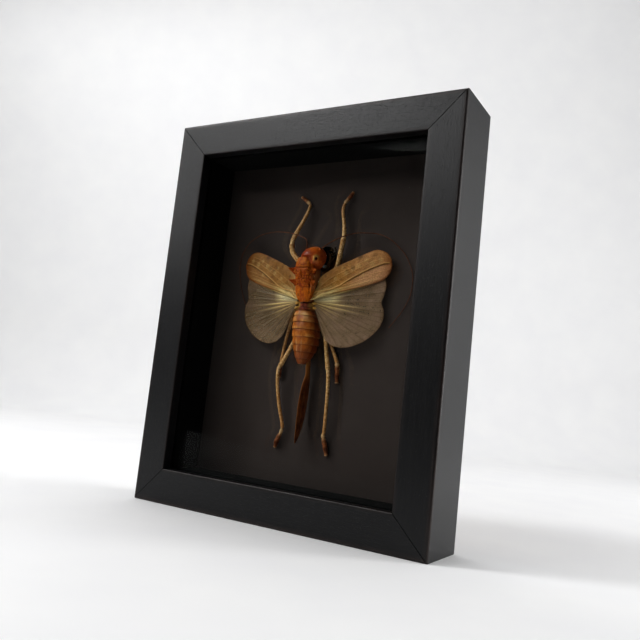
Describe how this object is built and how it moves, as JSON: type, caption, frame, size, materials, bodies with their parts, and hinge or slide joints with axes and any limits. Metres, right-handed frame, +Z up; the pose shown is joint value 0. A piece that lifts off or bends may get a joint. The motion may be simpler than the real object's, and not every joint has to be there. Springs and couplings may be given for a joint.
{
  "type": "framed insect specimen",
  "caption": "Deep glazed box frame with a spread, winged katydid laid on a dark card inside, standing upright on its bottom rail.",
  "frame": {"origin": "on the surface it stands on, under the middle of the whole frame", "axes": "+Z up the frame, +Y from the glazed front to the back, +X to the right of someone who looks at the front"},
  "size_m": [0.178, 0.037, 0.22],
  "materials": {
    "stained_wood": "matte black stain, fine grain",
    "pane": "clear, polished",
    "charcoal_card": "matte paper-faced board",
    "hardboard": "pressed fibre, matte",
    "black_board": "matte black board",
    "tab_steel": "bright sheet steel",
    "brassed_steel": "brass plated",
    "head_shell": "smooth satin shell, orange red",
    "black_shell": "glossy black shell",
    "saddle_shell": "wrinkled satin shell, orange brown",
    "trunk_shell": "satin shell, red brown",
    "belly_shell": "satin shell, tan orange",
    "blade_shell": "satin shell, brown",
    "feeler_shell": "satin shell, red brown",
    "limb_shell": "satin shell, straw",
    "leathery_wing": "matte leathery wing, golden olive",
    "smoky_wing": "thin pleated membrane, smoky"
  },
  "bodies": {
    "root": {"rail_bottom": "stained_wood", "rail_top": "stained_wood", "rail_left": "stained_wood", "rail_right": "stained_wood", "glass": "pane", "backing_card": "charcoal_card", "back_panel": "hardboard", "spacer_left": "black_board", "spacer_right": "black_board", "spacer_bottom": "black_board", "spacer_top": "black_board", "tab_left_upper": "tab_steel", "tab_left_lower": "tab_steel", "tab_right_upper": "tab_steel", "tab_right_lower": "tab_steel", "hanger": "brassed_steel", "head": "head_shell", "mouthparts": "black_shell", "pronotum": "saddle_shell", "thorax": "trunk_shell", "abdomen": "belly_shell", "ovipositor": "blade_shell", "antenna_left": "feeler_shell", "antenna_right": "feeler_shell", "front_leg_left": "limb_shell", "front_leg_right": "limb_shell", "middle_leg_left": "limb_shell", "middle_leg_right": "limb_shell", "hind_leg_left": "limb_shell", "hind_leg_right": "limb_shell", "forewing_left": "leathery_wing", "forewing_right": "leathery_wing", "hindwing_left": "smoky_wing", "hindwing_right": "smoky_wing"}
  },
  "joints": []
}
